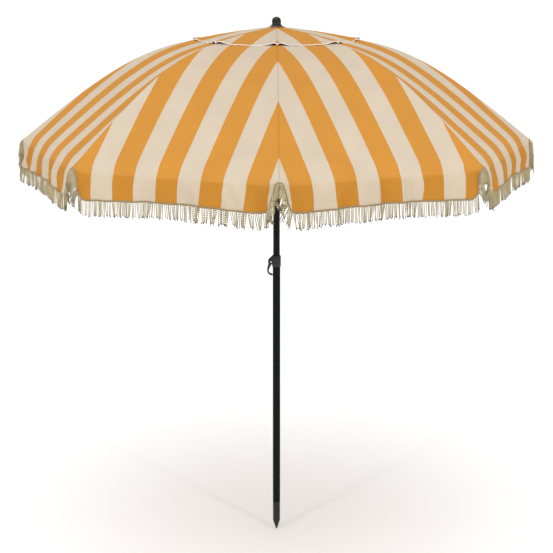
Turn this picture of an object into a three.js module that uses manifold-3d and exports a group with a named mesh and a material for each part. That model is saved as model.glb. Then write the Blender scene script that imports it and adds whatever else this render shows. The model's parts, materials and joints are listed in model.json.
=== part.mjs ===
// Beach umbrella: an eight-rib canopy on a two-part pole that is pushed into the ground.
// Millimetres, +Z up. The origin is the point of the ground spike, on the axis of the pole.
// rib_1 points towards -Y, and the others follow anticlockwise, seen from above, every 45 degrees.
import * as THREE from 'three';
import { mergeVertices } from 'three/addons/utils/BufferGeometryUtils.js';
import Module from 'manifold-3d';

const wasm = await Module();
wasm.setup();

// ---- driving dimensions ----
const ribCount = 8;
const gap = 0.3; // play between neighbouring pieces

// pole
const lowerRadius = 16;
const upperRadius = 14;
const wall = 1.2;
const spikeShoulder = 130; // the tube stands on the spike here
const lowerTop = 1226;
const upperBottom = 880;
const upperTop = 2168;

// crown, seen as a slotted hub with one wire through all the rib eyes
const hingeRadius = 22;
const hingeHeight = 2160;
const wireRadius = 1;
const hubRadius = 26;

// ribs and struts
const ribRadius = 2.5;
const tipRadius = 1038;
const tipHeight = 1722;
const clipRadius = 360; // where the strut meets the rib, measured from the pole axis
const clipDrop = 8; // strut pin below the centre of the rod
const pinRadius = 1.5;
const strutHeight = 8;
const strutWidth = 3;

// runner
const runnerPinRadius = 34;
const runnerPinHeight = 1910;
const runnerTop = runnerPinHeight + 7;
const flangeBottom = runnerPinHeight - 6;
const sleeveBottom = 1850;
const catchHeight = 1897.5;

// cloth
const clothThickness = 1;
const clothLift = 4.5; // outer face of the cloth above the centre of the rod
const ventRadius = 240; // edge of the hole under the vent flap
const panelSag = 9; // how far the middle of a panel dips below the straight line between ribs
const flapInner = 24;
const flapInnerHeight = 2180.4;
const flapOuter = 333;
const flapOuterHeight = 2134;
const flapRise = 9; // the flap stands up between two ribs
const valanceDrop = 104;
const notchWidth = 24; // the hem climbs to the rib tip over this distance
const fringeDrop = 62;
const valanceThickness = 2;

// clamp
const collarRadius = 18.6;
const collarBottom = 1190;
const collarTop = 1238;
const collarBore = 16.35;
const leverPivot = new THREE.Vector2(-22.8, 1211);
const leverHalfWidth = 5.6;
const bossHalfWidth = 11;

// ---- finishes ----
const finish = (color, roughness, metalness) =>
  new THREE.MeshStandardMaterial({ color, roughness, metalness });
const darkSteel = finish(0x171c15, 0.4, 0.6);
const darkPlastic = finish(0x12150f, 0.45, 0);
const glossPlastic = finish(0x23302a, 0.12, 0);
const bareSteel = finish(0xb4b5b2, 0.3, 1);
const ochreCloth = finish(0xdd9b44, 0.8, 0);
const creamCloth = finish(0xe4d3be, 0.8, 0);
const fringeCord = finish(0xc8b996, 0.9, 0);

// ---- solids ----
// Turns a closed geometry into a solid, with its faces pointing out.
function solid(geometry) {
  const bare = geometry.clone();
  for (const name of ['normal', 'uv']) bare.deleteAttribute(name);
  const merged = mergeVertices(bare, 1e-4);
  const position = merged.getAttribute('position');
  const corner = (i) => new THREE.Vector3().fromBufferAttribute(position, i);
  const faces = [];
  let volume = 0;
  for (let i = 0; i < merged.index.count; i += 3) {
    const [a, b, c] = [0, 1, 2].map((k) => merged.index.getX(i + k));
    if (a === b || b === c || c === a) continue;
    faces.push([a, b, c]);
    volume += corner(a).dot(corner(b).cross(corner(c)));
  }
  const triVerts = new Uint32Array(faces.flatMap(([a, b, c]) => (volume < 0 ? [a, c, b] : [a, b, c])));
  return new wasm.Manifold(new wasm.Mesh({ numProp: 3, vertProperties: position.array, triVerts }));
}

function geometryOf(body) {
  const mesh = body.getMesh();
  const geometry = new THREE.BufferGeometry();
  geometry.setAttribute('position', new THREE.BufferAttribute(mesh.vertProperties, 3));
  geometry.setIndex(new THREE.BufferAttribute(mesh.triVerts, 1));
  geometry.computeVertexNormals();
  return geometry;
}

// A profile of [radius, height] points turned about the Z axis.
function turned(profile, sides = 32) {
  const points = profile.map(([r, z]) => new THREE.Vector2(r, z));
  return solid(new THREE.LatheGeometry(points, sides).rotateX(Math.PI / 2));
}

// A profile that closes on itself, for rings and tubes.
const turnedRing = (profile, sides) => turned([...profile, profile[0]], sides);

const tube = (outer, inner, bottom, top, sides) =>
  turnedRing([[inner, bottom], [outer, bottom], [outer, top], [inner, top]], sides);

const rod = (radius, bottom, top, sides = 32) =>
  turned([[0, bottom], [radius, bottom], [radius, top], [0, top]], sides);

// An outline drawn in the XZ plane, with its thickness along Y and centred on it.
function plate(outline, width, segments = 6) {
  const geometry = new THREE.ExtrudeGeometry(outline, {
    depth: width, bevelEnabled: false, curveSegments: segments,
  });
  return solid(geometry.translate(0, 0, -width / 2).rotateX(Math.PI / 2));
}

// A round pin along Y through the point [x, z].
const pinAlongY = (radius, [x, z], length, sides = 12) =>
  solid(new THREE.CylinderGeometry(radius, radius, length, sides).translate(x, 0, z));

const block = (width, depth, height, [x, y, z]) =>
  solid(new THREE.BoxGeometry(width, depth, height).translate(x, y, z));

// The same cut at every rib.
const aroundPole = (cutter) =>
  Array.from({ length: ribCount }, (_, k) => cutter.rotate([0, 0, (360 / ribCount) * k]))
    .reduce((sum, next) => sum.add(next));

// A thin sheet: place(across, along, depth) gives the point for across in -1..1, along and depth in 0..1.
function sheet(acrossSteps, alongSteps, place) {
  const geometry = new THREE.BoxGeometry(2, 1, 1, acrossSteps, alongSteps, 1);
  const position = geometry.getAttribute('position');
  for (let i = 0; i < position.count; i++) {
    const point = place(position.getX(i), position.getY(i) + 0.5, position.getZ(i) + 0.5);
    position.setXYZ(i, point.x, point.y, point.z);
  }
  return solid(geometry);
}

const umbrella = new THREE.Group();

function addPiece(name, body, material, turn = 0) {
  const mesh = new THREE.Mesh(geometryOf(body), material);
  mesh.name = name;
  mesh.rotation.z = turn;
  umbrella.add(mesh);
}

// ---- rib curve, in a frame where X points away from the pole ----
const ribCurve = new THREE.CubicBezierCurve3(
  new THREE.Vector3(hingeRadius, 0, hingeHeight),
  new THREE.Vector3(460, 0, 2114),
  new THREE.Vector3(525, 0, 2137),
  new THREE.Vector3(tipRadius, 0, tipHeight),
);

function ribFrame(t) {
  const tangent = ribCurve.getTangent(t);
  return { point: ribCurve.getPoint(t), tangent, normal: new THREE.Vector3(-tangent.z, 0, tangent.x) };
}

// The curve's parameter at a given distance from the pole axis.
function ribAt(radius) {
  let [low, high] = [0, 1];
  for (let i = 0; i < 40; i++) {
    const middle = (low + high) / 2;
    if (ribCurve.getPoint(middle).x < radius) low = middle;
    else high = middle;
  }
  return low;
}

// ---- pole ----
function groundSpike() {
  return turned([
    [0, 0], [2.6, 0.8], [15.4, 41], [15.4, spikeShoulder - gap], [lowerRadius - wall - gap, spikeShoulder - gap],
    [lowerRadius - wall - gap, spikeShoulder + 36], [11, spikeShoulder + 40], [0, spikeShoulder + 40],
  ]);
}

const lowerPole = () => tube(lowerRadius, lowerRadius - wall, spikeShoulder, lowerTop);

function upperPole() {
  const hole = rod(4.4, 0, 20, 12).rotate([0, 90, 0]).translate([0, 0, catchHeight]);
  return tube(upperRadius, upperRadius - wall, upperBottom, upperTop).subtract(hole);
}

// Plastic bush on the foot of the upper pole: its flange slides in the lower pole, its spigot lets it turn.
function poleBush() {
  const bore = lowerRadius - wall - gap;
  const spigot = upperRadius - wall - gap;
  return turned([
    [0, upperBottom - 14], [bore - 1, upperBottom - 14], [bore, upperBottom - 13], [bore, upperBottom - gap],
    [spigot, upperBottom - gap], [spigot, upperBottom + 24], [spigot - 1, upperBottom + 25], [0, upperBottom + 25],
  ]);
}

// ---- clamp ----
function clampCollar() {
  const sleeve = turned([
    [0, collarBottom], [collarRadius - 1, collarBottom], [collarRadius, collarBottom + 1.5],
    [collarRadius, collarTop - 9], [upperRadius + 2.5, collarTop], [0, collarTop],
  ]);
  const boss = new THREE.Shape();
  boss.moveTo(-12, 1199);
  boss.lineTo(-19, 1199);
  boss.lineTo(-31, 1203);
  boss.quadraticCurveTo(-36, 1205, -35.6, 1212);
  boss.quadraticCurveTo(-35, 1219, -30, 1223);
  boss.lineTo(-15, collarTop - 0.5);
  boss.lineTo(-12, collarTop - 0.5);
  const slot = block(24, 2 * leverHalfWidth + 0.8, 60, [-30.3, 0, 1216]);
  return sleeve
    .add(plate(boss, 2 * bossHalfWidth))
    .subtract(rod(collarBore, collarBottom - 1, lowerTop + gap))
    .subtract(rod(upperRadius + 0.5, lowerTop, collarTop + 1))
    .subtract(slot)
    .subtract(pinAlongY(2.4, leverPivot, 60));
}

function clampPin() {
  const head = 1.4;
  const shank = pinAlongY(2.1, leverPivot, 2 * (bossHalfWidth + gap + head));
  const rivet = (side) =>
    pinAlongY(3.4, leverPivot, head, 16).translate([0, side * (bossHalfWidth + gap + head / 2), 0]);
  return shank.add(rivet(1)).add(rivet(-1));
}

// A bow that hangs from the pin and curves back to the pole, with an open window for a finger.
function clampLever() {
  const bow = new THREE.Shape();
  bow.moveTo(-18.6, 1211);
  bow.absarc(leverPivot.x, leverPivot.y, 4.2, 0, Math.PI / 2, false);
  bow.lineTo(-29, 1214.5);
  bow.quadraticCurveTo(-34, 1213, -34.4, 1207);
  bow.bezierCurveTo(-35.5, 1190, -40.5, 1183, -39.6, 1172);
  bow.bezierCurveTo(-38.5, 1160, -29, 1151, -17, 1151);
  bow.quadraticCurveTo(-16.4, 1154.5, -17, 1158);
  bow.bezierCurveTo(-26, 1158.5, -32, 1164, -32.8, 1172);
  bow.bezierCurveTo(-32.4, 1180, -26, 1186, -23, 1197.5);
  bow.lineTo(-19.4, 1199);
  bow.lineTo(-18.6, 1211);
  return plate(bow, 2 * leverHalfWidth, 8).subtract(pinAlongY(2.45, leverPivot, 60));
}

// ---- crown ----
function crown() {
  const hub = turned([
    [0, upperTop + gap + 0.2], [upperRadius + 0.4, upperTop + gap + 0.2], [upperRadius + 0.4, hingeHeight - 16],
    [hubRadius - 1.5, hingeHeight - 16], [hubRadius, hingeHeight - 14.5], [hubRadius, hingeHeight + 12],
    [hubRadius - 3, hingeHeight + 16], [5, hingeHeight + 16], [5, 2203], [0, 2203],
  ], 24);
  const slot = block(12, 5.6, 24.5, [hingeRadius - 3.4 + 6, 0, hingeHeight + 4.2 - 12.25]);
  const groove = tube(hingeRadius + 1.4, hingeRadius - 1.4, hingeHeight - 17, hingeHeight + 1.4);
  return hub.subtract(aroundPole(slot)).subtract(groove);
}

const crownWire = () =>
  solid(new THREE.TorusGeometry(hingeRadius, wireRadius, 6, 32).translate(0, 0, hingeHeight));

const crownPatch = () => tube(34, 5.4, 2181.6, 2182.6);

const topWasher = () =>
  turnedRing([[5.4, 2183.1], [26.5, 2183.1], [26.5, 2184.2], [21.5, 2187], [19, 2190.6], [5.4, 2190.6]]);

function finial() {
  const dome = new THREE.EllipseCurve(0, 2203.6, 18.6, 17.7, 0, Math.PI / 2).getPoints(8);
  return turned([
    [0, 2203.4], [5.4, 2203.4], [5.4, 2191], [17.6, 2191], [18.2, 2192],
    ...dome.slice(0, -1).map((p) => [p.x, p.y]), [0, 2221.3],
  ], 24);
}

// ---- runner and catch ----
function runner() {
  const body = turnedRing([
    [upperRadius + 0.5, runnerTop], [38.5, runnerTop], [40, runnerTop - 1.5], [40, flangeBottom + 1.5],
    [38.5, flangeBottom], [22, flangeBottom], [22, sleeveBottom + 7], [24, sleeveBottom + 6],
    [24, sleeveBottom], [upperRadius + 3.8, sleeveBottom], [upperRadius + 3.8, runnerTop - 14],
    [upperRadius + 0.5, runnerTop - 14],
  ], 24);
  const slot = block(20, strutWidth + 1.4, 30, [28.7 + 10, 0, runnerPinHeight]);
  const groove = tube(runnerPinRadius + 1.4, runnerPinRadius - 1.4, flangeBottom - 1, runnerPinHeight + 1.4);
  const window = rod(6, 15, 30, 16).rotate([0, 90, 0]).translate([0, 0, catchHeight]);
  return body.subtract(aroundPole(slot)).subtract(groove).subtract(window);
}

function runnerCatch() {
  return turned([
    [0, 8], [5.5, 8], [5.5, 10.2], [4, 10.2], [4, 15.6], [2.6, 16.9], [0, 17.3],
  ], 16).rotate([0, 90, 0]).translate([0, 0, catchHeight]);
}

function catchSpring() {
  const strip = new THREE.Shape([[-3, -0.25], [3, -0.25], [3, 0.25], [-3, 0.25]]
    .map(([x, y]) => new THREE.Vector2(x, y)));
  const path = new THREE.CatmullRomCurve3([
    [7.3, 1903], [7.2, 1884], [3, 1852], [-4, 1838], [-10, 1850], [-11.6, 1874], [-11.6, 1890],
  ].map(([x, z]) => new THREE.Vector3(x, 0, z)));
  return solid(new THREE.ExtrudeGeometry(strip, { steps: 20, extrudePath: path, bevelEnabled: false }));
}

// ---- ribs and struts ----
const roundShape = (radius, segments) =>
  new THREE.Shape(new THREE.Path().absarc(0, 0, radius, 0, 2 * Math.PI).getPoints(segments).slice(0, -1));

function eyePlate([x, z], outer, inner, width, segments) {
  const ring = new THREE.Shape().absarc(x, z, outer, 0, 2 * Math.PI);
  ring.holes.push(new THREE.Path().absarc(x, z, inner, 0, 2 * Math.PI));
  return plate(ring, width, segments);
}

const strutPin = (() => {
  const { point, normal } = ribFrame(ribAt(clipRadius));
  return point.addScaledVector(normal, -clipDrop);
})();

function rib() {
  const start = ribFrame(ribAt(hingeRadius + 2.6)).point;
  const path = new THREE.CubicBezierCurve3(start, ribCurve.v1, ribCurve.v2, ribCurve.v3);
  const bar = solid(new THREE.ExtrudeGeometry(roundShape(ribRadius, 6), {
    steps: 14, extrudePath: path, bevelEnabled: false,
  }));
  const eye = eyePlate([hingeRadius, hingeHeight], 3.3, 1.6, 4.4, 5);
  const end = ribFrame(1).point.addScaledVector(ribFrame(1).tangent, 2);
  const tip = solid(new THREE.SphereGeometry(3.2, 8, 4).translate(end.x, 0, end.z));
  // saddle pressed round the rod, with a cheek on each side of the strut
  const { point, tangent } = ribFrame(ribAt(clipRadius));
  const lean = Math.atan2(-tangent.z, tangent.x);
  const inside = strutWidth / 2 + 0.5;
  const outside = inside + 1.2;
  const channel = new THREE.Shape([
    [outside, 2.6], [-outside, 2.6], [-outside, -11.4], [-inside, -11.4], [-inside, -3.6],
    [inside, -3.6], [inside, -11.4], [outside, -11.4],
  ].map(([across, up]) => new THREE.Vector2(across, up)));
  const saddle = plate(channel, 9)
    .rotate([0, 0, 90])
    .add(pinAlongY(pinRadius, [0, -clipDrop], 2 * outside - 0.6, 8))
    .rotate([0, (lean * 180) / Math.PI, 0])
    .translate([point.x, 0, point.z]);
  return bar.add(eye).add(tip).add(saddle);
}

function strut() {
  const length = Math.hypot(strutPin.x - runnerPinRadius, strutPin.z - runnerPinHeight);
  const slope = Math.atan2(strutPin.z - runnerPinHeight, strutPin.x - runnerPinRadius);
  const half = strutHeight / 2;
  const bar = new THREE.Shape();
  bar.absarc(0, 0, half, Math.PI / 2, 1.5 * Math.PI, false);
  bar.absarc(length, 0, half, -Math.PI / 2, Math.PI / 2, false);
  bar.holes.push(new THREE.Path().absarc(0, 0, 1.5, 0, 2 * Math.PI));
  bar.holes.push(new THREE.Path().absarc(length, 0, pinRadius + 0.4, 0, 2 * Math.PI));
  return plate(bar, strutWidth)
    .rotate([0, (-slope * 180) / Math.PI, 0])
    .translate([runnerPinRadius, 0, runnerPinHeight]);
}

// ---- cloth: each piece runs from one panel's middle, over a rib, to the next panel's middle ----
const halfPanel = Math.PI / ribCount;

// A point across a panel: straight between two ribs, and across = 0 at the rib, 1 at the panel's middle.
function acrossPanel(radius, height, across, sag) {
  const reach = Math.abs(across);
  const side = Math.sign(across) * reach * radius * Math.sin(halfPanel) * Math.cos(halfPanel);
  const back = reach * radius * Math.sin(halfPanel) * Math.sin(halfPanel);
  const dip = sag * (1 - (1 - reach) ** 2);
  return new THREE.Vector3(radius - back, side, height - dip);
}

const trim = 1 - 0.0015; // leaves a hair's breadth between two neighbouring pieces

function canopy() {
  const first = ribAt(ventRadius);
  return sheet(4, 12, (across, along, depth) => {
    const { point, normal } = ribFrame(first + (1 - first) * along);
    const top = point.addScaledVector(normal, clothLift - clothThickness * depth);
    const sag = panelSag * Math.sin(Math.PI * along);
    return acrossPanel(top.x, top.z, across * trim, sag);
  });
}

function ventFlap() {
  const line = new THREE.QuadraticBezierCurve(
    new THREE.Vector2(flapInner, flapInnerHeight), new THREE.Vector2(190, 2163),
    new THREE.Vector2(flapOuter, flapOuterHeight),
  );
  return sheet(4, 5, (across, along, depth) => {
    const { x, y } = line.getPoint(along);
    return acrossPanel(x, y - clothThickness * depth, across * trim, -flapRise * along ** 2);
  });
}

const hemDepth = (side) => valanceDrop * (1 - Math.exp(-((Math.abs(side) / notchWidth) ** 1.8)));

function valance() {
  const radius = tipRadius + 7.5;
  const top = tipHeight + 3;
  return sheet(16, 2, (across, along, depth) => {
    const eased = Math.sign(across) * Math.abs(across) ** 1.7; // more points near the notch
    const rim = acrossPanel(radius - valanceThickness * depth, top, eased * trim, 0);
    rim.z -= (1 - along) * (hemDepth(rim.y) + fringeDrop);
    return rim;
  });
}

// ---- assembly ----
addPiece('ground_spike', groundSpike(), darkPlastic);
addPiece('lower_pole', lowerPole(), darkSteel);
addPiece('clamp_collar', clampCollar(), darkPlastic);
addPiece('clamp_lever', clampLever(), darkPlastic);
addPiece('clamp_pin', clampPin(), bareSteel);
addPiece('pole_bush', poleBush(), darkPlastic);
addPiece('upper_pole', upperPole(), darkSteel);
addPiece('crown', crown(), darkPlastic);
addPiece('crown_wire', crownWire(), bareSteel);
addPiece('crown_patch', crownPatch(), creamCloth);
addPiece('top_washer', topWasher(), darkPlastic);
addPiece('finial', finial(), glossPlastic);
addPiece('runner', runner(), darkPlastic);
addPiece('runner_catch', runnerCatch(), bareSteel);
addPiece('catch_spring', catchSpring(), bareSteel);

for (let k = 0; k < ribCount; k++) {
  const turn = -Math.PI / 2 + k * 2 * halfPanel;
  addPiece(`rib_${k + 1}`, rib(), darkSteel, turn);
  addPiece(`strut_${k + 1}`, strut(), darkSteel, turn);
  addPiece(`canopy_${k + 1}`, canopy(), ochreCloth, turn);
  addPiece(`vent_flap_${k + 1}`, ventFlap(), creamCloth, turn);
  addPiece(`valance_${k + 1}`, valance(), fringeCord, turn);
}

export default umbrella;
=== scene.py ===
# Beach umbrella: striped canopy with a vent flap, a notched valance and a twisted bullion fringe
import json
import math
import random

import bmesh
import bpy
import numpy as np
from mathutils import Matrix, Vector, noise

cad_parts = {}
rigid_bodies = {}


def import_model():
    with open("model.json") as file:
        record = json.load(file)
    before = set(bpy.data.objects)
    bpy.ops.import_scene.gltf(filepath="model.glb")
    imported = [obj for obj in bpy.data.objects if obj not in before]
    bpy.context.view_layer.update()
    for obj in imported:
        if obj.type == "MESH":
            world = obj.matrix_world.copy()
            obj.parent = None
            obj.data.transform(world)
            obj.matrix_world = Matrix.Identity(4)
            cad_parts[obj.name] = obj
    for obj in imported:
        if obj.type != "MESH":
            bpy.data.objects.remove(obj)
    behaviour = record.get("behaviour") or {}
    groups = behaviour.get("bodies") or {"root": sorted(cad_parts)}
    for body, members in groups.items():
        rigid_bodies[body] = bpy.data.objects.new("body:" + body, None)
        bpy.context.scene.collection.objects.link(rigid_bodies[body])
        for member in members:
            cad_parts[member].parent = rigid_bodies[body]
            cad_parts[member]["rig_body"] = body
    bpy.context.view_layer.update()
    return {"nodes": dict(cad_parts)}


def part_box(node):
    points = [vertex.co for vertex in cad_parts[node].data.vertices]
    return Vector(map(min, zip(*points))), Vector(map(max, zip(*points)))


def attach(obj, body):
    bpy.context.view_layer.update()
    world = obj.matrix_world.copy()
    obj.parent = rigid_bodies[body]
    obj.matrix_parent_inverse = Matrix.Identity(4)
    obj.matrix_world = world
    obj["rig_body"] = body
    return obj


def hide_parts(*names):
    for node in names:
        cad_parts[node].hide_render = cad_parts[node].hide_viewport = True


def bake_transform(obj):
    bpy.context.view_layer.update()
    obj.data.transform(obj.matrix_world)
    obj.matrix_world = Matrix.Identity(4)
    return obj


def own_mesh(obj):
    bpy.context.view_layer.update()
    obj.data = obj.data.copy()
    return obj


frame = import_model()

cadNodes = frame["nodes"]
ribCount = len([name for name in cadNodes if name.startswith("rib_")])
halfPanel = math.pi / ribCount
mm = 0.001

# a long lens, from a little above the rim
lookout = dict(
    back=5.408,
    height=2.484,
    tilt=13.9,
    around=-0.5,
    lens=86.1,
)


def placeCamera():
    camera = bpy.data.cameras.new("camera")
    camera.lens = lookout["lens"]
    camera.sensor_width = 36
    camera.clip_end = 400
    holder = bpy.data.objects.new("camera", camera)
    turn = math.radians(lookout["around"])
    back = lookout["back"]
    holder.location = (back * math.sin(turn), -back * math.cos(turn), lookout["height"])
    holder.rotation_euler = (math.radians(90 - lookout["tilt"]), 0, turn)
    bpy.context.scene.collection.objects.link(holder)
    bpy.context.scene.camera = holder


studio = dict(
    sky=0.68,  # white light from everywhere
    sun=1.66,  # wide soft sun high in front
    sunTilt=15,
    sunTurn=-8,
    sunSize=80,
    strips=26,  # two tall soft boxes that give the gloss on the pole and the finial
    stripSize=(0.25, 1.5),
    stripPlace=(2.6, -3.2, 2.3),
    stripAim=(0, 0, 1.6),
    floorRadius=150,
    floorColor=(0.96, 0.96, 0.96),
)


def lightStudio():
    world = bpy.data.worlds.new("studio")
    world.use_nodes = True
    world.node_tree.nodes["Background"].inputs["Color"].default_value = (1, 1, 1, 1)
    world.node_tree.nodes["Background"].inputs["Strength"].default_value = studio["sky"]
    bpy.context.scene.world = world
    bpy.context.scene.view_settings.view_transform = "Standard"

    sun = bpy.data.lights.new("soft_sun", "SUN")
    sun.energy = studio["sun"]
    sun.angle = math.radians(studio["sunSize"])
    sunHolder = bpy.data.objects.new("soft_sun", sun)
    sunHolder.rotation_euler = (math.radians(studio["sunTilt"]), 0, math.radians(studio["sunTurn"]))
    bpy.context.scene.collection.objects.link(sunHolder)

    for side in (-1, 1):
        strip = bpy.data.lights.new("strip_light", "AREA")
        strip.shape = "RECTANGLE"
        strip.size, strip.size_y = studio["stripSize"]
        strip.energy = studio["strips"]
        stripHolder = bpy.data.objects.new("strip_light", strip)
        aside, front, high = studio["stripPlace"]
        stripHolder.location = (side * aside, front, high)
        aim = Vector(studio["stripAim"]) - stripHolder.location
        stripHolder.rotation_euler = aim.to_track_quat("-Z", "Y").to_euler()
        bpy.context.scene.collection.objects.link(stripHolder)


def layFloor():
    bpy.ops.mesh.primitive_circle_add(vertices=96, radius=studio["floorRadius"], fill_type="NGON")
    floor = bpy.context.object
    floor.name = "floor"
    paint, shader = newMaterial("pale_floor", studio["floorColor"], roughness=0.95)
    shader.inputs["Specular IOR Level"].default_value = 0.1
    floor.data.materials.append(paint)


def newMaterial(name, color=None, roughness=0.5, metallic=0.0):
    material = bpy.data.materials.new(name)
    material.use_nodes = True
    shader = material.node_tree.nodes["Principled BSDF"]
    if color:
        shader.inputs["Base Color"].default_value = (*color, 1)
    shader.inputs["Roughness"].default_value = roughness
    shader.inputs["Metallic"].default_value = metallic
    return material, shader


# node of a kind; inputs are numbers or other nodes' outputs, in socket order
def addNode(material, kind, *inputs, **settings):
    node = material.node_tree.nodes.new("ShaderNode" + kind)
    for key, value in settings.items():
        setattr(node, key, value)
    for socket, value in zip(node.inputs, inputs):
        plug(material, value, socket)
    return node


def plug(material, value, socket):
    if isinstance(value, bpy.types.NodeSocket):
        material.node_tree.links.new(value, socket)
    elif value is not None:
        socket.default_value = value


def maths(material, operation, a, b=0.0):
    return addNode(material, "Math", a, b, operation=operation).outputs[0]


def mixColors(material, amount, a, b, blend="MIX"):
    node = addNode(material, "Mix", data_type="RGBA", blend_type=blend)
    plug(material, amount, node.inputs["Factor"])
    plug(material, a, node.inputs[6])
    plug(material, b, node.inputs[7])
    return node.outputs[2]


def spread(material, value, low, high, newLow, newHigh):
    node = addNode(material, "MapRange", value, low, high, newLow, newHigh)
    return node.outputs[0]


def addBump(material, shader, height, strength, distance):
    bump = addNode(material, "Bump")
    bump.inputs["Strength"].default_value = strength
    bump.inputs["Distance"].default_value = distance
    plug(material, height, bump.inputs["Height"])
    plug(material, bump.outputs["Normal"], shader.inputs["Normal"])


def valueNoise(material, vector, scale, detail=2.0, roughness=0.5):
    node = addNode(material, "TexNoise")
    if vector is not None:
        plug(material, vector, node.inputs["Vector"])
    node.inputs["Scale"].default_value = scale
    node.inputs["Detail"].default_value = detail
    node.inputs["Roughness"].default_value = roughness
    return node.outputs["Fac"]


cloth = dict(
    ochre=(0.530, 0.232, 0.036),
    cream=(0.550, 0.461, 0.356),
    stripe=86 * mm,
    yarn=1.1 * mm,  # one over and one under of the canvas
    slubs=(900, 28),  # thick and thin yarns in a metre, across and along the warp
    fading=7,  # faded clouds in a metre
    binding=(0.78, 0.72, 0.69),
    ribbing=1.4 * mm,
)


# woven stripes that run parallel to the middle of each panel
def stripedCanvas():
    material, shader = newMaterial("striped_canvas", roughness=0.8)
    cut = addNode(material, "UVMap", uv_map="cut").outputs[0]
    metres = addNode(material, "SeparateXYZ", cut)
    across, down = metres.outputs[0], metres.outputs[1]
    turn = maths(material, "FRACT", maths(material, "DIVIDE", across, 2 * cloth["stripe"]))
    isCream = maths(material, "GREATER_THAN", turn, 0.5)
    base = mixColors(material, isCream, (*cloth["ochre"], 1), (*cloth["cream"], 1))

    blotches = valueNoise(material, cut, cloth["fading"], 3)
    base = mixColors(material, 1.0, base, shadeOf(material, blotches, 0.955, 1.03), "MULTIPLY")
    slubAcross = maths(material, "MULTIPLY", across, cloth["slubs"][0])
    slubDown = maths(material, "MULTIPLY", down, cloth["slubs"][1])
    slubs = addNode(material, "CombineXYZ", slubAcross, slubDown).outputs[0]
    threads = valueNoise(material, slubs, 1, 2)
    base = mixColors(material, 1.0, base, shadeOf(material, threads, 0.965, 1.03), "MULTIPLY")
    # painted shade: the cloth is darkened along the stitched groove over each rib, where the groove's shadow
    # falls
    seam = addNode(material, "Attribute", attribute_name="seam").outputs["Fac"]
    seamPaintedShade = mixColors(material, 1.0, base, (0.74, 0.68, 0.64, 1), "MULTIPLY")
    base = mixColors(material, seam, base, seamPaintedShade)
    liningPaintedShade = addNode(material, "Attribute", attribute_name="liningPaintedShade").outputs["Fac"]  # painted shade: the double-cloth valance is darkened, the ochre more than the cream, for less light passing through it and falling on its hanging face
    liningShadeTint = mixColors(material, isCream, (0.87, 0.84, 0.64, 1), (0.97, 0.95, 0.92, 1))
    base = mixColors(material, liningPaintedShade, base, mixColors(material, 1.0, base, liningShadeTint, "MULTIPLY"))
    plug(material, base, shader.inputs["Base Color"])

    turnsPerMetre = 2 * math.pi / cloth["yarn"]
    warp = maths(material, "SINE", maths(material, "MULTIPLY", across, turnsPerMetre))
    weft = maths(material, "SINE", maths(material, "MULTIPLY", down, turnsPerMetre))
    addBump(material, shader, maths(material, "MULTIPLY", warp, weft), 0.25, 0.2 * mm)
    plug(material, spread(material, blotches, 0.3, 0.7, 0.74, 0.86), shader.inputs["Roughness"])
    shader.inputs["Specular IOR Level"].default_value = 0.14
    return material


# grey from a noise value, to multiply a colour by
def shadeOf(material, value, low, high):
    level = spread(material, value, 0.3, 0.7, low, high)
    return addNode(material, "CombineColor", level, level, level).outputs[0]


# pale folded tape round the edge of the vent flap
def bindingTape():
    material, shader = newMaterial("binding_tape", roughness=0.75)
    along = addNode(material, "UVMap", uv_map="cut").outputs[0]
    metres = addNode(material, "SeparateXYZ", along)
    turns = maths(material, "MULTIPLY", metres.outputs[1], 2 * math.pi / cloth["ribbing"])
    addBump(material, shader, maths(material, "SINE", turns), 0.3, 0.15 * mm)
    patches = valueNoise(material, along, 30, 2)
    shade = shadeOf(material, patches, 0.93, 1.03)
    base = mixColors(material, 1.0, (*cloth["binding"], 1), shade, "MULTIPLY")
    plug(material, base, shader.inputs["Base Color"])
    shader.inputs["Sheen Weight"].default_value = 0.15
    return material


yarn = dict(
    pale=(0.880, 0.740, 0.440),
    # the dark colours are the painted shade in the grooves of the twist
    dark=(0.018, 0.010, 0.004),
    braidPale=(0.600, 0.470, 0.260),
    braidDark=(0.090, 0.055, 0.024),
)


# twisted yarn: pale on the crowns of the twist and painted shade down in its grooves
def bullionYarn(name, pale, dark, contrast):
    material, shader = newMaterial(name, roughness=0.88)
    groove = addNode(material, "Attribute", attribute_name="groove").outputs["Fac"]
    tint = addNode(material, "Attribute", attribute_name="tint").outputs["Fac"]
    # painted shade: the dark colour goes where the twist's groove is deep, and on the fringe also over its
    # dark tips
    depth = spread(material, groove, 0.30, 0.54, 0.0, contrast)
    base = mixColors(material, depth, (*pale, 1), (*dark, 1))
    level = spread(material, tint, 0.0, 1.0, 0.80, 1.14)
    grey = addNode(material, "CombineColor", level, level, level).outputs[0]
    base = mixColors(material, 1.0, base, grey, "MULTIPLY")
    plug(material, base, shader.inputs["Base Color"])
    fibres = valueNoise(material, None, 900, 2)
    addBump(material, shader, fibres, 0.2, 0.2 * mm)
    shader.inputs["Specular IOR Level"].default_value = 0.2
    return material


# baked powder paint: fine orange peel, rubbed a little brighter here and there
def powderCoat(name, color, roughness):
    material, shader = newMaterial(name, roughness=roughness)
    place = addNode(material, "TexCoord").outputs["Object"]
    peel = valueNoise(material, place, 700, 2)
    rubbed = valueNoise(material, place, 9, 4)
    worn = (color[0] * 2.2, color[1] * 2.1, color[2] * 2.0, 1)
    base = mixColors(material, spread(material, rubbed, 0.4, 0.75, 0.0, 0.35), (*color, 1), worn)
    plug(material, base, shader.inputs["Base Color"])
    plug(material, spread(material, rubbed, 0.3, 0.7, roughness - 0.05, roughness + 0.1),
         shader.inputs["Roughness"])
    addBump(material, shader, peel, 0.12, 0.15 * mm)
    shader.inputs["Specular IOR Level"].default_value = 0.09
    return material


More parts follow.
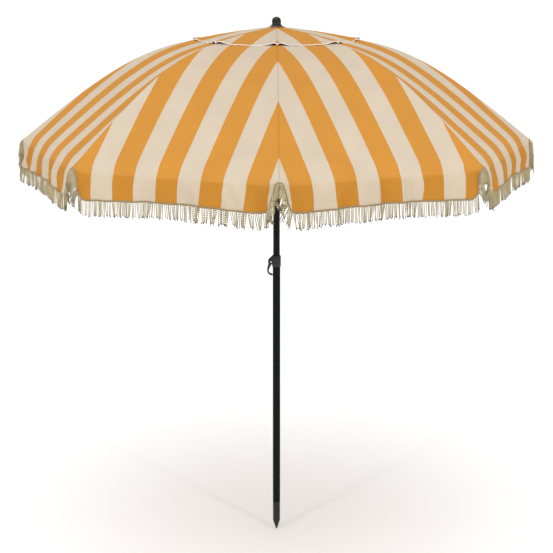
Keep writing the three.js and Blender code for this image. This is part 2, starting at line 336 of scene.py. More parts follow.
# injection moulded plastic with a fine spark grain
def mouldedPlastic(name, color, roughness, grain, gloss=0.4):
    material, shader = newMaterial(name, roughness=roughness)
    place = addNode(material, "TexCoord").outputs["Object"]
    spark = valueNoise(material, place, 1400, 3, 0.6)
    flow = valueNoise(material, place, 40, 2)
    paler = (color[0] * 1.5, color[1] * 1.5, color[2] * 1.5, 1)
    base = mixColors(material, spread(material, flow, 0.35, 0.7, 0.0, 0.5), (*color, 1), paler)
    plug(material, base, shader.inputs["Base Color"])
    plug(material, spread(material, flow, 0.3, 0.7, roughness, roughness + 0.08), shader.inputs["Roughness"])
    addBump(material, shader, spark, grain, 0.1 * mm)
    shader.inputs["Specular IOR Level"].default_value = gloss
    return material


# zinc plated wire and pins, with drawing marks
def drawnSteel():
    material, shader = newMaterial("plated_steel", roughness=0.3, metallic=1.0)
    place = addNode(material, "TexCoord").outputs["Object"]
    clouds = valueNoise(material, place, 60, 3)
    base = mixColors(material, clouds, (0.52, 0.53, 0.52, 1), (0.66, 0.65, 0.62, 1))
    plug(material, base, shader.inputs["Base Color"])
    plug(material, spread(material, clouds, 0.3, 0.7, 0.24, 0.42), shader.inputs["Roughness"])
    addBump(material, shader, valueNoise(material, place, 900, 2), 0.1, 0.05 * mm)
    return material


hardColors = dict(
    pole=(0.0040, 0.0055, 0.0035),
    rib=(0.010, 0.011, 0.009),
    clamp=(0.008, 0.009, 0.007),
    finial=(0.004, 0.008, 0.005),
)

print("materials")
canvas = stripedCanvas()
tape = bindingTape()
fringeYarn = bullionYarn("fringe_yarn", yarn["pale"], yarn["dark"], 1.0)
braidYarn = bullionYarn("braid_yarn", yarn["braidPale"], yarn["braidDark"], 0.9)
poleCoat = powderCoat("pole_powder_coat", hardColors["pole"], 0.38)
ribCoat = powderCoat("rib_powder_coat", hardColors["rib"], 0.5)
clampPlastic = mouldedPlastic("clamp_plastic", hardColors["clamp"], 0.48, 0.25)
finialPlastic = mouldedPlastic("finial_plastic", hardColors["finial"], 0.16, 0.03, gloss=0.3)
platedSteel = drawnSteel()

placeCamera()
lightStudio()
layFloor()


# mesh object from points in the part's frame; marks are named values at the points
def addPiece(name, points, faces, material, body, smooth=40, uv=None, marks=None):
    mesh = bpy.data.meshes.new(name)
    mesh.from_pydata(points, [], faces)
    mesh.materials.append(material)
    corners = np.empty(len(mesh.loops), np.int32)
    mesh.loops.foreach_get("vertex_index", corners)
    if uv is not None:
        layer = mesh.uv_layers.new(name="cut")
        layer.uv.foreach_set("vector", np.asarray(uv, np.float32)[corners].ravel())
    for key, values in (marks or {}).items():
        mark = mesh.attributes.new(key, "FLOAT", "POINT")
        mark.data.foreach_set("value", np.asarray(values, np.float32).ravel())
    mesh.polygons.foreach_set("use_smooth", [True] * len(mesh.polygons))
    mesh.set_sharp_from_angle(angle=math.radians(smooth))
    mesh.update()
    piece = bpy.data.objects.new(name, mesh)
    bpy.context.scene.collection.objects.link(piece)
    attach(piece, body)
    return piece


def unit(vectors):
    return vectors / np.linalg.norm(vectors, axis=-1, keepdims=True)


# unit normals of a grid whose rows run away from the pole and columns run anticlockwise
def outward(grid):
    return unit(np.cross(np.gradient(grid, axis=0), np.gradient(grid, axis=1)))


# closed thin shell under a grid of points
def shell(grid, thickness):
    rows, columns = grid.shape[:2]
    count = rows * columns
    points = np.concatenate([grid.reshape(-1, 3), (grid - outward(grid) * thickness).reshape(-1, 3)])
    index = np.arange(count).reshape(rows, columns)
    top = np.stack([index[:-1, :-1], index[1:, :-1], index[1:, 1:], index[:-1, 1:]], -1).reshape(-1, 4)
    ring = np.concatenate([index[0, :-1], index[:-1, -1], index[-1, :0:-1], index[:0:-1, 0]])
    after = np.roll(ring, -1)
    edge = np.stack([ring, after, after + count, ring + count], -1)
    return points, np.concatenate([top, top[:, ::-1] + count, edge]).tolist()


def ribTurn(k):
    return -math.pi / 2 + (k - 1) * 2 * halfPanel


# from the frame of a rib that points along X to the frame of the part, at rib k
def turnedTo(k, points):
    turn = ribTurn(k)
    spin = np.array([[math.cos(turn), -math.sin(turn), 0], [math.sin(turn), math.cos(turn), 0], [0, 0, 1]])
    return points @ spin.T


# count points on a smooth line through the given ones
def smoothLine(points, count):
    points = np.asarray(points, float)
    padded = np.vstack([2 * points[0] - points[1], points, 2 * points[-1] - points[-2]])
    where = np.linspace(0, len(points) - 1, count)
    at = np.minimum(where.astype(int), len(points) - 2)
    t = (where - at)[:, None]
    a, b, c, d = padded[at], padded[at + 1], padded[at + 2], padded[at + 3]
    return 0.5 * (2 * b + (c - a) * t + (2 * a - 5 * b + 4 * c - d) * t**2 + (3 * b - a - 3 * c + d) * t**3)


# the outer line of a cloth node over its rib, as (radius, height) points from the pole to the edge
def ridgeOf(node, count):
    seen = set()
    for vertex in cadNodes[node].data.vertices:
        if abs(vertex.co.x) < 0.01 * mm:  # rib 1 points along -Y
            seen.add((round(-vertex.co.y, 6), round(vertex.co.z, 6)))
    line = sorted(seen)
    outer = [max(line[i], line[i + 1], key=lambda p: p[0] + p[1]) for i in range(0, len(line) - 1, 2)]
    return smoothLine(outer, count)


def alongLine(line):
    return np.concatenate([[0], np.cumsum(np.linalg.norm(np.diff(line, axis=0), axis=1))])


# points of a line at the given distances along it
def pointsAt(distances, along, line):
    return np.stack([np.interp(distances, along, line[:, i]) for i in range(3)], -1)


# the cloth would gather towards its rib as the canopy folds down; this only gives the piece its own copy of
# its mesh
def squashToRib(piece):
    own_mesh(piece)


# closed tubes along paths; ring(number, along, around) gives the radius's scale and the groove depth
def tubes(paths, radius, sides, ring):
    points, faces, grooves, start = [], [], [], 0
    around = np.linspace(0, 2 * math.pi, sides, endpoint=False)
    for number, path in enumerate(paths):
        along = alongLine(path)
        tangent = unit(np.gradient(path, axis=0))
        guide = np.array([0.31, 0.95, 0.05]) if abs(tangent[0, 1]) < 0.8 else np.array([0.95, 0.31, 0.05])
        first = unit(np.cross(tangent, guide))
        second = np.cross(tangent, first)
        scale, groove = ring(number, along, around)
        wheel = np.cos(around)[None, :, None] * first[:, None]
        wheel = wheel + np.sin(around)[None, :, None] * second[:, None]
        points.append((path[:, None] + wheel * radius * scale[..., None]).reshape(-1, 3))
        grooves.append(groove.ravel())
        rows = len(path)
        index = start + np.arange(rows * sides).reshape(rows, sides)
        beside = np.roll(index, -1, axis=1)
        faces += np.stack([index[:-1], beside[:-1], beside[1:], index[1:]], -1).reshape(-1, 4).tolist()
        faces += [index[0, ::-1].tolist(), index[-1].tolist()]
        start += rows * sides
    return np.concatenate(points), faces, np.concatenate(grooves)


# A panel's cut is (direction, shift): its stripes start at shift from its middle and run in that direction.
offMiddle = 20 * mm
plain = (1, offMiddle)
mirrored = (-1, offMiddle)
centred = (1, -cloth["stripe"] / 2)
canopyCut = dict(enumerate([plain, centred, centred, mirrored] * 2, start=1))
flapShift = 19 * mm
flapCut = {}
for panel, (way, shift) in canopyCut.items():
    flapCut[panel] = (way, shift if (way, shift) == centred else flapShift)


def evenTube(number, along, around):
    one = np.ones((len(along), len(around)))
    return one, 0 * one


def panelBeside(k, side):
    return k if side >= 0 else (k - 2) % ribCount + 1


# distance across the striped cloth, for a signed distance from the middle of the panel
def cutFrom(cut, k, fromMiddle, side):
    way, shift = cut[panelBeside(k, side)]
    return way * fromMiddle + shift


canopy = dict(
    rows=72,
    steps=20,  # columns from the seam's own to the middle of a panel
    sag=9 * mm,  # the middle of a panel dips below the straight line between ribs
    thickness=0.8 * mm,
    seamLift=0.5 * mm,  # the felled seam over a rib
    seamHalf=3.4 * mm,
    ripple=2.2 * mm,
    rippleSize=0.19,
    pucker=0.5 * mm,  # small gathers along the stitches
    puckerReach=14 * mm,
    rimBend=62 * mm,  # the cloth starts to turn down this far above the rim
)

ridge = ridgeOf("canopy_1", canopy["rows"])
ridgeAlong = alongLine(ridge)
slopeStart = ridge[0, 0] / math.cos(math.atan2(ridge[0, 1] - ridge[1, 1], ridge[1, 0] - ridge[0, 0]))
besideRib = 0.03  # mm; no column stands on the rib itself, where the stripes change panel
nearSeam = np.array([besideRib, 0.9, 1.8, 2.6, 3.4, 4.6, 7, 12, 20, 32]) * mm


# from a rib to the middle of its panel, square to the rib
def halfWidth(radius):
    return radius * math.sin(halfPanel) * math.cos(halfPanel)


# shares of a half panel: fixed widths beside the seam, then even steps to the middle of the panel
def reachColumns(radius, steps):
    near = nearSeam / halfWidth(radius)
    far = np.linspace(near[-1], 1, steps + 1)[1:]
    half = np.concatenate([near, far])
    return np.concatenate([-half[::-1], half])


# signed distance from the middle of the panel, along the chord
def middleDistance(reach, radius):
    return -math.copysign(1, reach) * (1 - abs(reach)) * radius * math.sin(halfPanel)


# point over a panel, a dip below the chord: reach 0 is on the rib, +-1 in the middle of a panel
def overPanel(radius, height, reach, dip):
    far = abs(reach)
    side = reach * halfWidth(radius)
    back = far * radius * math.sin(halfPanel) ** 2
    return np.array([radius - back, side, height - dip * (1 - (1 - far) ** 2)])


# the same soft waves for both pieces that meet in the middle of a panel
def waviness(panel, fromMiddle, down, size):
    return noise.noise(Vector((fromMiddle / size, down / size, 7.3 * panel)))


# two folded lips beside the line of stitches
def seamShape(side):
    distance = abs(side)
    half = canopy["seamHalf"]
    if distance > 1.35 * half:
        return 0.0
    return canopy["seamLift"] * math.sin(math.pi * min(1, (distance + 0.25 * half) / (1.6 * half))) ** 2


# how much painted shadow the cloth gets beside a rib's stitched groove, none past 2.6 mm
def paintedSeamShadow(side):
    return max(0.0, 1 - abs(side) / (2.6 * mm))


# the three control points that turn a column of the canopy into the valance, and their spacing
def rimBendAt(column, side):
    length = canopy["rimBend"] * (1 - math.exp(-(side / (55 * mm)) ** 2)) + 1 * mm
    corner = column[-1]
    above = pointsAt(length, alongLine(column[::-1]), column[::-1])
    below = corner + hangDirection(side) * length
    return (above, corner, below), length


# down and a little outwards, square to the panel
def hangDirection(side):
    lean = math.radians(valance["flare"])
    turn = math.copysign(halfPanel, side)
    return np.array([math.sin(lean) * math.cos(turn), math.sin(lean) * math.sin(turn), -math.cos(lean)])


def onBend(controls, share):
    above, corner, below = controls
    return (1 - share) ** 2 * above + 2 * share * (1 - share) * corner + share**2 * below


valance = dict(
    drop=110 * mm,
    rise=10 * mm,  # the hem is this much higher in the middle of a panel
    atRib=2.5 * mm,  # what is left of the drop at a rib tip
    notch=18 * mm,  # half the width of the upright slot below a rib tip
    corner=29 * mm,  # the rounded corner beside the slot
    gather=0.024,  # the braid draws the hem in
    flare=5.0,
    folds=9 * mm,
    foldSize=0.085,
    creases=24 * mm,
    creaseSize=0.070,
    curl=6 * mm,  # corners beside a notch stand out
    curlReach=48 * mm,
    liningShadeRamp=(6 * mm, 9 * mm),  # the cloth turns double, and its painted shade starts, from here, over this much
    thickness=1.2 * mm,
    rows=22,
)


# one line of the canopy from the vent to the rim, with its distances from the panel's middle along it
def canopyColumn(column):
    points, middles = [], []
    for row, (radius, height) in enumerate(ridge):
        reach = columnsAt[row][column]
        along = ridgeAlong[row] / ridgeAlong[-1]
        points.append(overPanel(radius, height, reach, canopy["sag"] * math.sin(math.pi * along)))
        middles.append(middleDistance(reach, radius))
    return np.array(points), middles


columnsAt = [reachColumns(radius, canopy["steps"]) for radius, height in ridge]
columnCount = len(columnsAt[0])
clothUp = np.array([0.35, 0, 0.94])  # about square to the cloth beside a rib


def canopyGrid(k):
    grid = np.zeros((canopy["rows"], columnCount, 3))
    uv = np.zeros((canopy["rows"], columnCount, 2))
    seam = np.zeros((canopy["rows"], columnCount))
    for column in range(columnCount):
        points, middles = canopyColumn(column)
        direction = columnsAt[-1][column]
        controls, bend = rimBendAt(points, points[-1, 1])
        fromRim = alongLine(points[::-1])[::-1]
        panel = panelBeside(k, direction)
        for row in range(canopy["rows"]):
            point = points[row]
            side = points[row, 1]
            if fromRim[row] < bend:
                point = onBend(controls, (bend - fromRim[row]) / (2 * bend))
            down = slopeStart + ridgeAlong[row]
            share = ridgeAlong[row] / ridgeAlong[-1]
            quiet = math.sin(math.pi * share) * min(1, abs(side) / (30 * mm))
            wave = canopy["ripple"] * quiet * waviness(panel, middles[row], down, canopy["rippleSize"])
            gathered = math.exp(-abs(side) / canopy["puckerReach"]) * math.sin(math.pi * share)
            pucker = canopy["pucker"] * gathered * noise.noise(Vector((down * 42, k * 3.1, direction)))
            lift = wave + pucker + seamShape(side)
            grid[row, column] = point + clothUp * lift
            uv[row, column] = cutFrom(canopyCut, k, middles[row], direction), down
            seam[row, column] = paintedSeamShadow(side)
    return grid, uv, seam


def sewCanopy(k):
    grid, uv, seam = canopyGrid(k)
    points, faces = shell(grid, canopy["thickness"])
    piece = addPiece(f"canopy_panel_{k}", turnedTo(k, points), faces, canvas, f"rib_{k}",
                     uv=np.tile(uv.reshape(-1, 2), (2, 1)), marks={"seam": np.tile(seam.ravel(), 2)})
    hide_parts(f"canopy_{k}")
    squashToRib(piece)


# how far the hem hangs below the rim: nothing at the rib tip, full past the rounded notch
def hemDepth(side):
    distance = abs(side)
    full = valance["drop"] - valance["rise"] * (1 - math.cos(math.pi * min(1, distance / rimHalf))) / 2
    upright = 1 - math.exp(-(distance / valance["notch"]) ** 5)
    rounded = 1 - math.exp(-(distance / valance["corner"]) ** 2.2)
    return valance["atRib"] + (full - valance["atRib"]) * (0.72 * upright + 0.28 * rounded)


rimRadius = float(ridge[-1, 0])
rimHalf = halfWidth(rimRadius)
hemStep = dict(
    near=4 * mm,
    notchEnd=60 * mm,  # steps are short up to here
    far=10 * mm,
)


# distances from the rib tip that follow the hem closely round the notch
def hemSteps():
    fine = np.arange(0, rimHalf, 0.1 * mm)
    depth = np.array([hemDepth(side) for side in fine])
    travel = alongLine(np.stack([fine, depth], -1))
    near = fine < hemStep["notchEnd"]
    turn = travel[near][-1]
    beyond = turn / hemStep["near"] + (travel - turn) / hemStep["far"]
    effort = np.where(near, travel / hemStep["near"], beyond)
    half = np.interp(np.arange(1, int(effort[-1])), effort, fine)
    half = np.concatenate([[besideRib * mm], half])
    return np.concatenate([-half[::-1], half])


rimSides = np.concatenate([[-rimHalf], hemSteps(), [rimHalf]])


# the canopy's own line above a point on the rim
def rimColumn(side):
    last = 16  # rows, which reach past the rim's bend
    line = []
    for (radius, height), along in zip(ridge[-last:], ridgeAlong[-last:]):
        dip = canopy["sag"] * math.sin(math.pi * along / ridgeAlong[-1])
        line.append(overPanel(radius, height, side / rimHalf, dip))
    return np.array(line)


def valanceGrid(k):
    rows = valance["rows"]
    paintedShadeStart, paintedShadeBlend = valance["liningShadeRamp"]
    grid = np.zeros((rows, len(rimSides), 3))
    uv = np.zeros((rows, len(rimSides), 2))
    liningPaintedShade = np.zeros((rows, len(rimSides)))
    for column, side in enumerate(rimSides):
        controls, bend = rimBendAt(rimColumn(side), side)
        panel = panelBeside(k, side)
        middle = middleDistance(side / rimHalf, rimRadius)
        hang = hangDirection(side)
        square = unit(hang * np.array([1, 1, 0]))
        for row in range(rows):
            share = row / (rows - 1)
            depth = share * hemDepth(side)
            if depth < bend:
                point = onBend(controls, (bend + depth) / (2 * bend))
            else:
                point = controls[1] + hang * depth
            down = slopeStart + ridgeAlong[-1] + depth
            full = depth / valance["drop"]
            swells = waviness(panel, middle * 1.6 + 0.3 * depth, depth * 0.5, valance["foldSize"])
            slant = math.copysign(1.1, side) * depth * (1 - abs(side) / rimHalf)
            ridged = waviness(panel + 20, middle * 1.3 + slant, depth * 0.3, valance["creaseSize"])
            crease = 0.5 - abs(ridged) * 2
            billow = 1.5 * valance["folds"] * swells + valance["creases"] * crease
            billow *= full * (1.3 - 0.7 * share)
            curl = valance["curl"] * full**1.5 * math.exp(-(side / valance["curlReach"]) ** 2)
            drawn = np.array([-square[1], square[0], 0]) * middle * -valance["gather"] * full
            grid[row, column] = point + square * (billow + curl) + drawn
            uv[row, column] = cutFrom(canopyCut, k, middle, side), down
            # painted shade on the hanging valance, ramping in below the rim
            liningPaintedShade[row, column] = min(1, max(0, (depth - paintedShadeStart) / paintedShadeBlend))
    return grid, uv, liningPaintedShade


def sewValance(k, grid, uv, liningPaintedShade):
    points, faces = shell(grid, valance["thickness"])
    piece = addPiece(f"valance_cloth_{k}", turnedTo(k, points), faces, canvas, f"valance_{k}",
                     uv=np.tile(uv.reshape(-1, 2), (2, 1)), marks={"liningPaintedShade": np.tile(liningPaintedShade.ravel(), 2)})
    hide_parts(f"valance_{k}")
    return piece


braid = dict(cords=2, radius=1.75 * mm, twist=6.5 * mm, step=1.5 * mm, sides=7)


# hem line, outward normals and the direction up into the cloth, at even steps along it
def hemFrame(grid):
    hem = grid[-1]
    normal = outward(grid)[-1]
    along = alongLine(hem)
    even = np.arange(0, along[-1], braid["step"])
    normal = unit(pointsAt(even, along, normal))
    hem = pointsAt(even, along, hem)
    tangent = np.gradient(hem, axis=0)
    for _ in range(4):  # softens the turns of the hem
        tangent[1:-1] = (tangent[:-2] + 2 * tangent[1:-1] + tangent[2:]) / 4
    upward = unit(np.cross(normal, unit(tangent)))
    return hem, normal, upward


# flat gimp of two twisted cords that covers the cut edge
def sewBraid(k, hem, normal, upward):
    paths = []
    for cord in range(braid["cords"]):
        above = (2 * cord - 0.2) * braid["radius"]
        paths.append(hem + upward * above + normal * (0.75 * braid["radius"]))

    def twist(number, along, around):
        way = 1 if number % 2 else -1
        phase = 2 * around[None, :] - way * 2 * math.pi * along[:, None] / braid["twist"]
        groove = (1 - np.cos(phase)) / 2
        return 1 - 0.24 * groove, groove

    points, faces, groove = tubes(paths, braid["radius"], braid["sides"], twist)
    marks = {"groove": groove, "tint": np.full(len(groove), 0.5)}
    return addPiece(f"hem_braid_{k}", turnedTo(k, points), faces, braidYarn, f"valance_{k}",
                    smooth=80, marks=marks)


fringe = dict(
    length=55 * mm,
    spacing=5.2 * mm,
    notchSpacing=2.7 * mm,
    radius=1.85 * mm,
    bead=7.6 * mm,  # one turn of the twist
    sides=6,
    steps=36,
    uneven=5 * mm,
    bunch=5,  # the most strands that lean together
    together=0.2,  # how much they draw together
    lean=0.07,
    gust=0.06,
    notchReach=36 * mm,  # strands this near a rib hang in its notch
    proud=2.2,  # how steeply those strands stand out at first
    darkTip=9 * mm,
)


# drop says how soon the strand turns from its heading to hang down; the curl is in its last fifth
def hangingStrand(start, heading, sway, length, drop, curve, curl):
    fall = np.array([0.0, 0.0, -1.0])
    steps = fringe["steps"]
    line = [start]
    for step in range(steps):
        share = (step + 1) / steps
        pull = min(1, share * drop)
        way = heading * (1 - pull) + (fall + sway * (1 + curve * share)) * pull
        way[1] += curl * max(0, share - 0.8) * 5
        line.append(line[-1] + unit(way) * length / steps)
    return np.array(line)


# each strand leaves the hem square to it, then hangs; neighbours lean together in bunches
def strandPaths(k, hem, normal, upward):
    dice = random.Random(100 + k)
    along = alongLine(hem)
    paths = []
    at = dice.uniform(0, fringe["spacing"])
    lean = gust = 0.0
    bunch = member = 0
    while at < along[-1]:
        i = min(len(hem) - 1, int(at / braid["step"]))
        inNotch = abs(hem[i, 1]) < fringe["notchReach"]
        if member == bunch:
            bunch = dice.randint(2, fringe["bunch"])
            member = 0
            lean = dice.gauss(0, fringe["lean"])
            gust = dice.gauss(0, fringe["gust"])
        toMiddle = ((bunch - 1) / 2 - member) * fringe["spacing"] / fringe["length"]
        member += 1
        length = fringe["length"] + dice.uniform(-1, 1) * fringe["uneven"]
        sway = np.array([0.0, 1.0, 0.0]) * (lean + fringe["together"] * toMiddle + dice.gauss(0, 0.03))
        sway += normal[i] * np.array([1, 1, 0]) * (gust + 0.05 + dice.gauss(0, 0.04))
        start = hem[i] - upward[i] * 0.5 * mm + normal[i] * dice.uniform(0.2, 1.4) * mm
        heading = -upward[i] + normal[i] * dice.uniform(0.0, 0.25)
        if inNotch:
            heading += normal[i] * dice.uniform(0.1, fringe["proud"])
            heading = unit(heading)
            sway[1] -= dice.uniform(0.1, 1.05) * hem[i, 1] / length
        curve = dice.uniform(-0.5, 0.5)
        curl = dice.gauss(0, 0.5)
        paths.append(hangingStrand(start, heading, sway, length, 2.2 if inNotch else 5.0, curve, curl))
        spacing = fringe["notchSpacing"] if inNotch else fringe["spacing"]
        at += spacing * dice.uniform(0.65, 1.3)
    return paths, dice


def sewFringe(k, hem, normal, upward):
    paths, dice = strandPaths(k, hem, normal, upward)
    phases = [dice.uniform(0, 1) for _ in paths]
    tints = [dice.random() for _ in paths]

    def beads(number, along, around):
        turns = along[:, None] / fringe["bead"] + phases[number] + around[None, :] / (2 * math.pi)
        groove = (1 - np.cos(2 * math.pi * turns)) / 2
        scale = 1 - 0.38 * groove
        tip = np.clip((along[:, None] - along[-1] + fringe["darkTip"]) / fringe["darkTip"], 0, 1)
        groove = np.maximum(groove, 0.75 * tip)
        scale[0] *= 0.8
        scale[-1] *= 0.45
        scale[-2] *= 1.15
        return scale, groove

    points, faces, groove = tubes(paths, fringe["radius"], fringe["sides"], beads)
    rings = len(paths[0]) * fringe["sides"]
    tint = np.repeat(tints, rings)
    return addPiece(f"bullion_fringe_{k}", turnedTo(k, points), faces, fringeYarn, f"valance_{k}",
                    smooth=80, marks={"groove": groove, "tint": tint})


def hangValance(k):
    grid, uv, liningPaintedShade = valanceGrid(k)
    piece = sewValance(k, grid, uv, liningPaintedShade)
    hem, normal, upward = hemFrame(grid)
    trims = [sewBraid(k, hem, normal, upward), sewFringe(k, hem, normal, upward)]
    for part in [piece, *trims]:
        squashToRib(part)


flap = dict(
    rows=60,
    steps=26,
    thickness=0.8 * mm,
    wave=8.5 * mm,  # the edge stands up on both sides of a rib
    waveWidth=12 * mm,
    flutter=4.0 * mm,
    flutterSize=0.024,
    sink=2.5 * mm,  # the edge lies this much lower than the CAD solid's
    settle=4 * mm,  # and this much lower again in the middle of a panel
    beak=3 * mm,  # its corner on the rib points out
    beakWidth=8 * mm,
    binding=2.0 * mm,
)

flapRidge = ridgeOf("vent_flap_1", flap["rows"])
flapAlong = alongLine(flapRidge)


def flapGrid(k):
    narrowest = 0.11  # metres from the pole; nearer than this the columns keep their shares
    columns = [reachColumns(max(radius, narrowest), flap["steps"]) for radius, height in flapRidge]
    grid = np.zeros((flap["rows"], len(columns[0]), 3))
    uv = np.zeros((flap["rows"], len(columns[0]), 2))
    seam = np.zeros((flap["rows"], len(columns[0])))
    for row, (radius, height) in enumerate(flapRidge):
        share = flapAlong[row] / flapAlong[-1]
        for column, reach in enumerate(columns[row]):
            point = overPanel(radius, height - flap["sink"] * share**3, reach, flap["settle"] * share)
            side = point[1]
            panel = panelBeside(k, reach)
            middle = middleDistance(reach, radius)
            near = abs(side) / flap["waveWidth"]
            lift = flap["wave"] * share**12 * near * math.exp(1 - near)
            busy = 1.0 if canopyCut[panel] == centred else 0.45
            ruffle = waviness(panel + 40, middle, 0, flap["flutterSize"])
            lift += flap["flutter"] * busy * share**4 * min(1, near) * ruffle
            point[2] += lift + seamShape(side)
            point[0] += flap["beak"] * share**6 * math.exp(-(side / flap["beakWidth"]) ** 2)
            grid[row, column] = point
            uv[row, column] = cutFrom(flapCut, k, middle, reach), flapAlong[row]
            seam[row, column] = paintedSeamShadow(side)
    return grid, uv, seam


def sewFlap(k):
    grid, uv, seam = flapGrid(k)
    points, faces = shell(grid, flap["thickness"])
    piece = addPiece(f"vent_cloth_{k}", turnedTo(k, points), faces, canvas, f"rib_{k}",
                     uv=np.tile(uv.reshape(-1, 2), (2, 1)), marks={"seam": np.tile(seam.ravel(), 2)})
    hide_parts(f"vent_flap_{k}")
    edge = grid[-1]
    along = alongLine(edge)
    path = pointsAt(np.arange(0, along[-1], 2.2 * mm), along, edge)
    path = np.vstack([path, edge[-1:]])
    sides = 8
    tubePoints, tubeFaces, _ = tubes([path], flap["binding"], sides, evenTube)
    length = np.repeat(alongLine(path), sides)
    binding = addPiece(f"vent_binding_{k}", turnedTo(k, tubePoints), tubeFaces, tape, f"rib_{k}",
                       smooth=60, uv=np.stack([np.zeros(len(length)), length], -1))
    for part in (piece, binding):
        squashToRib(part)


crownPatch = dict(hole=5.4 * mm, thickness=0.8 * mm, droop=1.0 * mm, rings=12, steps=49)


# round reinforcing patch under the washer
def sewCrownPatch():
    low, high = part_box("crown_patch")
    radius = (high.x - low.x) / 2
    inner = crownPatch["hole"]
    rings, steps = crownPatch["rings"], crownPatch["steps"]
    grid = np.zeros((rings, steps, 3))
    for row in range(rings):
        far = inner + (radius - inner) * row / (rings - 1)
        height = high.z - crownPatch["droop"] * (row / rings) ** 2
        for column in range(steps):
            turn = 2 * math.pi * column / (steps - 1)
            grid[row, column] = far * math.cos(turn), far * math.sin(turn), height
    points, faces = shell(grid, crownPatch["thickness"])
    piece = addPiece("crown_cloth", points, faces, canvas, "mast", uv=points[:, :2])
    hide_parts("crown_patch")


print("canopy")
for k in range(1, ribCount + 1):
    sewCanopy(k)
    sewFlap(k)
sewCrownPatch()
print("valance and fringe")
for k in range(1, ribCount + 1):
    hangValance(k)


# a hard part with eased edges, made over its node
def finished(node, name, material, bevel=0.0, smooth=35, rides=True):
    source = cadNodes[node]
    mesh = source.data.copy()
    mesh.materials.clear()
    mesh.materials.append(material)
    work = bmesh.new()
    work.from_mesh(mesh)
    bmesh.ops.remove_doubles(work, verts=work.verts, dist=0.002 * mm)
    bmesh.ops.dissolve_limit(work, angle_limit=math.radians(0.5), verts=work.verts, edges=work.edges)
    work.to_mesh(mesh)
    work.free()
    piece = bpy.data.objects.new(name, mesh)
    bpy.context.scene.collection.objects.link(piece)
    if bevel:
        ease = piece.modifiers.new("ease", "BEVEL")
        ease.width = bevel
        ease.segments = 2
        ease.limit_method = "ANGLE"
        ease.angle_limit = math.radians(smooth)
        ease.harden_normals = False
        bpy.context.view_layer.update()
        eased = piece.evaluated_get(bpy.context.evaluated_depsgraph_get())
        shaped = bpy.data.meshes.new_from_object(eased)
        piece.modifiers.clear()
        piece.data = shaped
    piece.data.polygons.foreach_set("use_smooth", [True] * len(piece.data.polygons))
    piece.data.set_sharp_from_angle(angle=math.radians(smooth + 10))
    if rides:
        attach(piece, source["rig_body"])
    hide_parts(node)
    return piece


# leaf spring: its far leg stays on the pole, and its near leg goes in with the button; here the whole spring
# rides no body and stays where it is
def bentSpring():
    spring = finished("catch_spring", "plated_catch_spring", platedSteel, rides=False)
    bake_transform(spring)


# round part from (radius, height) points, which stands for a node
def turnedPiece(node, name, profile, material, sides=64):
    profile = np.array(profile)
    if profile[0, 0] > 0:
        profile = np.vstack([profile, profile[:1]])
    points, faces = [], []
    for radius, height in profile:
        for step in range(sides):
            turn = 2 * math.pi * step / sides
            points.append((radius * math.cos(turn), radius * math.sin(turn), height))
    for row in range(len(profile) - 1):
        for step in range(sides):
            a, b = row * sides + step, row * sides + (step + 1) % sides
            faces.append((a, b, b + sides, a + sides))
    piece = addPiece(name, points, faces, material, cadNodes[node]["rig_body"], smooth=35)
    work = bmesh.new()
    work.from_mesh(piece.data)
    bmesh.ops.remove_doubles(work, verts=work.verts, dist=0.001 * mm)
    bmesh.ops.dissolve_degenerate(work, dist=0.001 * mm, edges=work.edges)
    bmesh.ops.recalc_face_normals(work, faces=work.faces)
    work.to_mesh(piece.data)
    work.free()
    piece.data.set_sharp_from_angle(angle=math.radians(35))
    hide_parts(node)


poleWall = 1.2 * mm


# drawn tube with rolled ends
def roundTube(node, name, lip):
    low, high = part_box(node)
    outer = (high.x - low.x) / 2
    inner = outer - poleWall
    arc = [(1 - math.cos(a), math.sin(a)) for a in np.linspace(0, math.pi / 2, 4)]
    profile = [(inner, low.z + lip)]
    profile += [(outer - lip * (1 - y), low.z + lip * x) for x, y in arc]
    profile += [(outer - lip * x, high.z - lip * (1 - y)) for x, y in arc]
    profile += [(inner, high.z)]
    turnedPiece(node, name, profile, poleCoat)


finial = dict(
    dome=17.7 * mm,
    bore=5.4 * mm,
    boreDeep=12 * mm,
    parting=0.35 * mm,
)


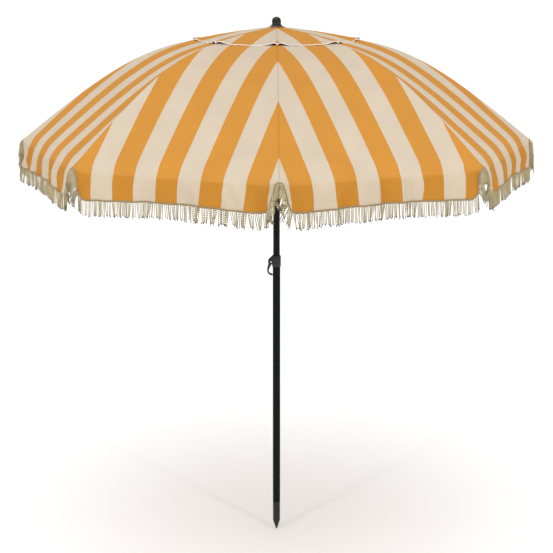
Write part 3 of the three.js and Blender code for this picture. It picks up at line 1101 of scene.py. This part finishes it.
# glossy knob with a parting line round its widest place
def turnedFinial():
    low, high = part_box("finial")
    radius = (high.x - low.x) / 2
    middle = high.z - finial["dome"]
    boreTop = low.z + finial["boreDeep"]
    profile = [
        (0, boreTop),
        (finial["bore"], boreTop),
        (finial["bore"], low.z),
        (radius - 1.2 * mm, low.z),
        (radius - 0.4 * mm, low.z + 0.8 * mm),
        (radius, middle - 2 * finial["parting"]),
        (radius - finial["parting"], middle),
    ]
    for angle in np.linspace(0.05, math.pi / 2, 22):
        profile.append((max(radius * math.cos(angle), 0), middle + finial["dome"] * math.sin(angle)))
    turnedPiece("finial", "turned_finial", profile, finialPlastic, 72)


wireRing = dict(radius=34 * mm, thick=1.1 * mm, below=7 * mm, steps=97)


# wire ring that holds the strut ends in the runner's groove
def runnerWire():
    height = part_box("runner")[1].z - wireRing["below"]
    turns = np.linspace(0, 2 * math.pi, wireRing["steps"])
    circle = np.stack([np.cos(turns), np.sin(turns)], -1) * wireRing["radius"]
    path = np.column_stack([circle, np.full(wireRing["steps"], height)])
    points, faces, _ = tubes([path], wireRing["thick"], 10, evenTube)
    addPiece("runner_wire", points, faces, platedSteel, "runner", smooth=60)


print("pole and frame")
roundTube("lower_pole", "drawn_lower_pole", 0.7 * mm)
roundTube("upper_pole", "drawn_upper_pole", 0.5 * mm)
turnedFinial()
runnerWire()
easedBy = dict(  # mm, for the edges of the moulded parts
    ground_spike=0.8,
    clamp_collar=0.7,
    clamp_lever=1.0,
    pole_bush=0.5,
    crown=0.6,
    runner=0.7,
    top_washer=0.6,
)
for node, ease in easedBy.items():
    finished(node, f"moulded_{node}", clampPlastic, ease * mm)
for node in ("clamp_pin", "crown_wire", "runner_catch"):
    finished(node, f"plated_{node}", platedSteel, 0.15 * mm if node == "runner_catch" else 0)
bentSpring()
for k in range(1, ribCount + 1):
    finished(f"rib_{k}", f"coated_rib_{k}", ribCoat, smooth=65)
    finished(f"strut_{k}", f"coated_strut_{k}", ribCoat, 0.5 * mm)

print("done")
